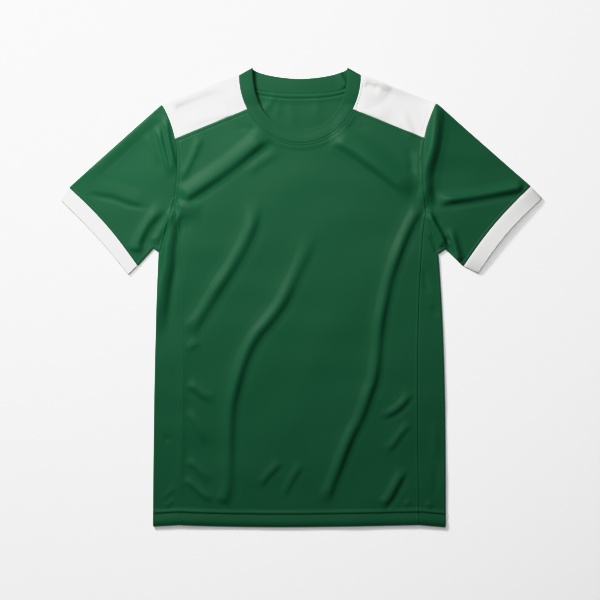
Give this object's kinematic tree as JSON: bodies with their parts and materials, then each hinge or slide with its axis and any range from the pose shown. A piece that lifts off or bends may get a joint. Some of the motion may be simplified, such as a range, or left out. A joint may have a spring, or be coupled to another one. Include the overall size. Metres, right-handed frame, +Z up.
{
  "type": "volleyball jersey",
  "caption": "Short-sleeved crew-neck volleyball jersey laid flat on its back, with contrast shoulder yokes and cuffs, side panels, a rib collar and a stitched hem.",
  "frame": {"origin": "on the surface that the jersey lies on, on its centre front line, halfway between the top of the collar and the hem", "axes": "+Z up out of the front of the jersey, +Y towards its neck, +X across it, towards the sleeve on the right as it is seen from above"},
  "size_m": [0.7572, 0.7236, 0.0097],
  "materials": {
    "jersey_green": "fine green polyester knit with a soft sheen",
    "jersey_white": "fine white polyester knit with a soft sheen",
    "rib_green": "green rib knit, matt"
  },
  "bodies": {
    "root": {"front": "jersey_green", "back": "jersey_green", "side_left": "jersey_green", "side_right": "jersey_green", "yoke_left": "jersey_white", "yoke_right": "jersey_white", "sleeve_left": "jersey_green", "sleeve_right": "jersey_green", "cuff_left": "jersey_white", "cuff_right": "jersey_white", "collar": "rib_green"}
  },
  "joints": []
}
